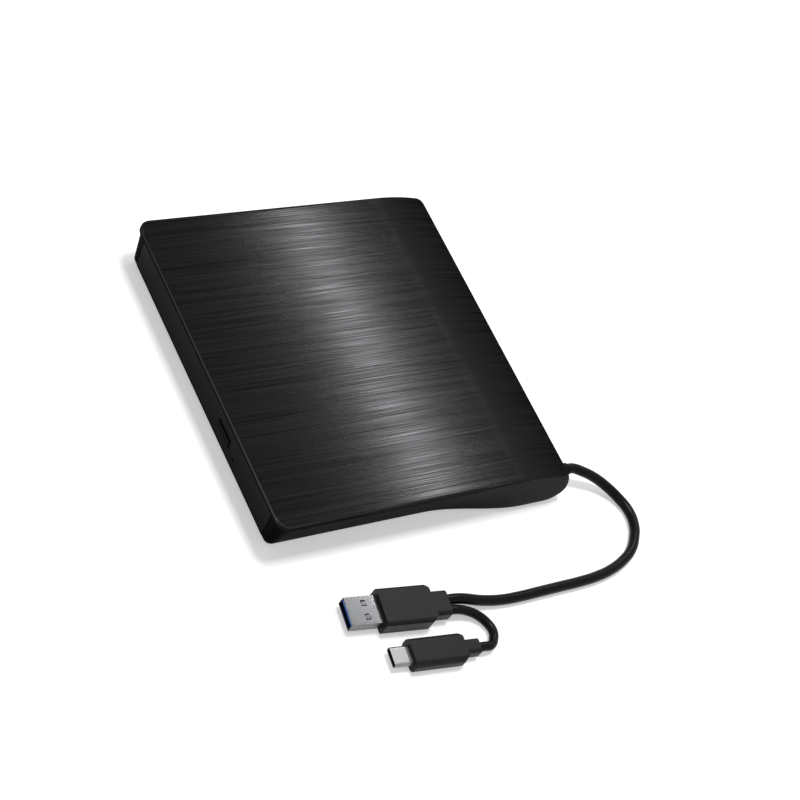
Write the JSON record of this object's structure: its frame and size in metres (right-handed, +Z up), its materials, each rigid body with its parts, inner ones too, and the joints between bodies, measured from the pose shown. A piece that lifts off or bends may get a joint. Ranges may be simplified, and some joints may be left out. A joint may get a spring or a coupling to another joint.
{
  "type": "external disc drive",
  "caption": "Low external disc drive with a curved brushed top plate, a slide-out disc tray behind a bezel with an eject button, and a fixed USB lead ending in USB-A and USB-C plugs.",
  "frame": {"origin": "on the table, under the middle of the case", "axes": "+X to the right seen from the front, -Y to the front where the tray slides out, +Z up"},
  "size_m": [0.2086, 0.176, 0.02],
  "materials": {
    "plate": "near-black with fine front-to-rear brushing",
    "case_plastic": "satin, bluish dark grey",
    "bezel_plastic": "satin",
    "foot_rubber": "matt",
    "steel": "bright",
    "cable_rubber": "satin",
    "board_green": "lacquered board",
    "chip_black": "matt",
    "white_plastic": "off-white",
    "dark_plastic": "fine grain",
    "sheet_steel": "rolled sheet",
    "copper_coil": "lacquered winding",
    "motor_metal": "cast",
    "clear_pipe": "clear",
    "lamp": "milky",
    "plug_plastic": "fine grain",
    "plug_metal": "plated",
    "blue_plastic": "moulded"
  },
  "bodies": {
    "case": {"top_cover": "plate", "bottom_case": "case_plastic", "rubber_feet": "foot_rubber", "case_screws": "steel", "lead_grommet": "cable_rubber", "inner_lead": "cable_rubber", "bridge_board": "board_green", "bridge_chips": "chip_black", "drive_socket": "chip_black", "lead_socket": "white_plastic", "bridge_screws": "steel", "drive_pan": "sheet_steel", "drive_lid": "sheet_steel", "drive_screws": "steel", "left_guide": "white_plastic", "right_guide": "white_plastic", "connector_board": "board_green", "drive_plug": "chip_black", "ribbon": "white_plastic", "latch_post": "steel", "kick_holder": "dark_plastic", "kick_spring": "steel", "lead": "cable_rubber", "tail_lead": "cable_rubber", "plug_a_body": "plug_plastic", "plug_a_shell": "plug_metal", "plug_a_insert": "blue_plastic", "plug_c_body": "plug_plastic", "plug_c_shell": "plug_metal", "plug_c_insert": "chip_black"},
    "tray": {"tray": "dark_plastic", "tray_bezel": "bezel_plastic", "eject_switch": "chip_black", "light_pipe": "clear_pipe", "status_light": "lamp", "tray_board": "board_green", "board_screws": "steel", "tray_shield": "sheet_steel", "latch_pin": "steel", "release_magnet": "copper_coil", "traverse_plate": "sheet_steel", "dampers": "foot_rubber", "damper_screws": "steel", "spindle_motor": "motor_metal", "main_rod": "steel", "side_rod": "steel", "stepper": "steel"},
    "left_slide": {"left_rail": "sheet_steel"},
    "right_slide": {"right_rail": "sheet_steel"},
    "button": {"eject_button": "bezel_plastic"},
    "spindle": {"hub": "dark_plastic", "hub_pad": "foot_rubber"},
    "pickup": {"sled": "motor_metal", "sled_cover": "sheet_steel"},
    "focus": {"lens_holder": "dark_plastic", "lens": "clear_pipe"},
    "screw": {"lead_screw": "steel"},
    "latch": {"latch_lever": "white_plastic"},
    "kicker": {"kick_plunger": "white_plastic"}
  },
  "joints": [
    {"name": "tray_slide", "type": "slide", "parent": "case", "child": "tray", "axis": [0, -1, 0], "range_m": [0, 0.13], "deforming": ["ribbon"]},
    {"name": "left_rail_slide", "type": "slide", "parent": "case", "child": "left_slide", "axis": [0, -1, 0], "range_m": [0, 0.065]},
    {"name": "right_rail_slide", "type": "slide", "parent": "case", "child": "right_slide", "axis": [0, -1, 0], "range_m": [0, 0.065]},
    {"name": "button_press", "type": "slide", "parent": "tray", "child": "button", "axis": [0, 1, 0], "range_m": [0, 0.0006], "stiffness_N_per_m": 800},
    {"name": "hub_spin", "type": "hinge", "parent": "tray", "child": "spindle", "pos_m": [0, -0.004, 0.013], "axis": [0, 0, 1], "continuous": true},
    {"name": "sled_slide", "type": "slide", "parent": "tray", "child": "pickup", "axis": [-0.7071, -0.7071, 0], "range_m": [0, 0.0325]},
    {"name": "screw_turn", "type": "hinge", "parent": "tray", "child": "screw", "pos_m": [-0.00743, -0.039, 0.0082], "axis": [-0.7071, -0.7071, 0], "range_deg": [0, 3960]},
    {"name": "lens_focus", "type": "slide", "parent": "pickup", "child": "focus", "axis": [0, 0, 1], "range_m": [-0.0004, 0.0004], "stiffness_N_per_m": 60},
    {"name": "latch_swing", "type": "hinge", "parent": "tray", "child": "latch", "pos_m": [0.041, -0.0586, 0.0076], "axis": [0, 0, 1], "range_deg": [-20, 0]},
    {"name": "kick_push", "type": "slide", "parent": "case", "child": "kicker", "axis": [0, 1, 0], "range_m": [0, 0.003], "stiffness_N_per_m": 300, "deforming": ["kick_spring"]}
  ],
  "couplings": [
    {"joint": "left_rail_slide", "follows": "tray_slide", "ratio": 0.5},
    {"joint": "right_rail_slide", "follows": "tray_slide", "ratio": 0.5},
    {"joint": "screw_turn", "follows": "sled_slide", "rad_per_m": 2094.4}
  ]
}
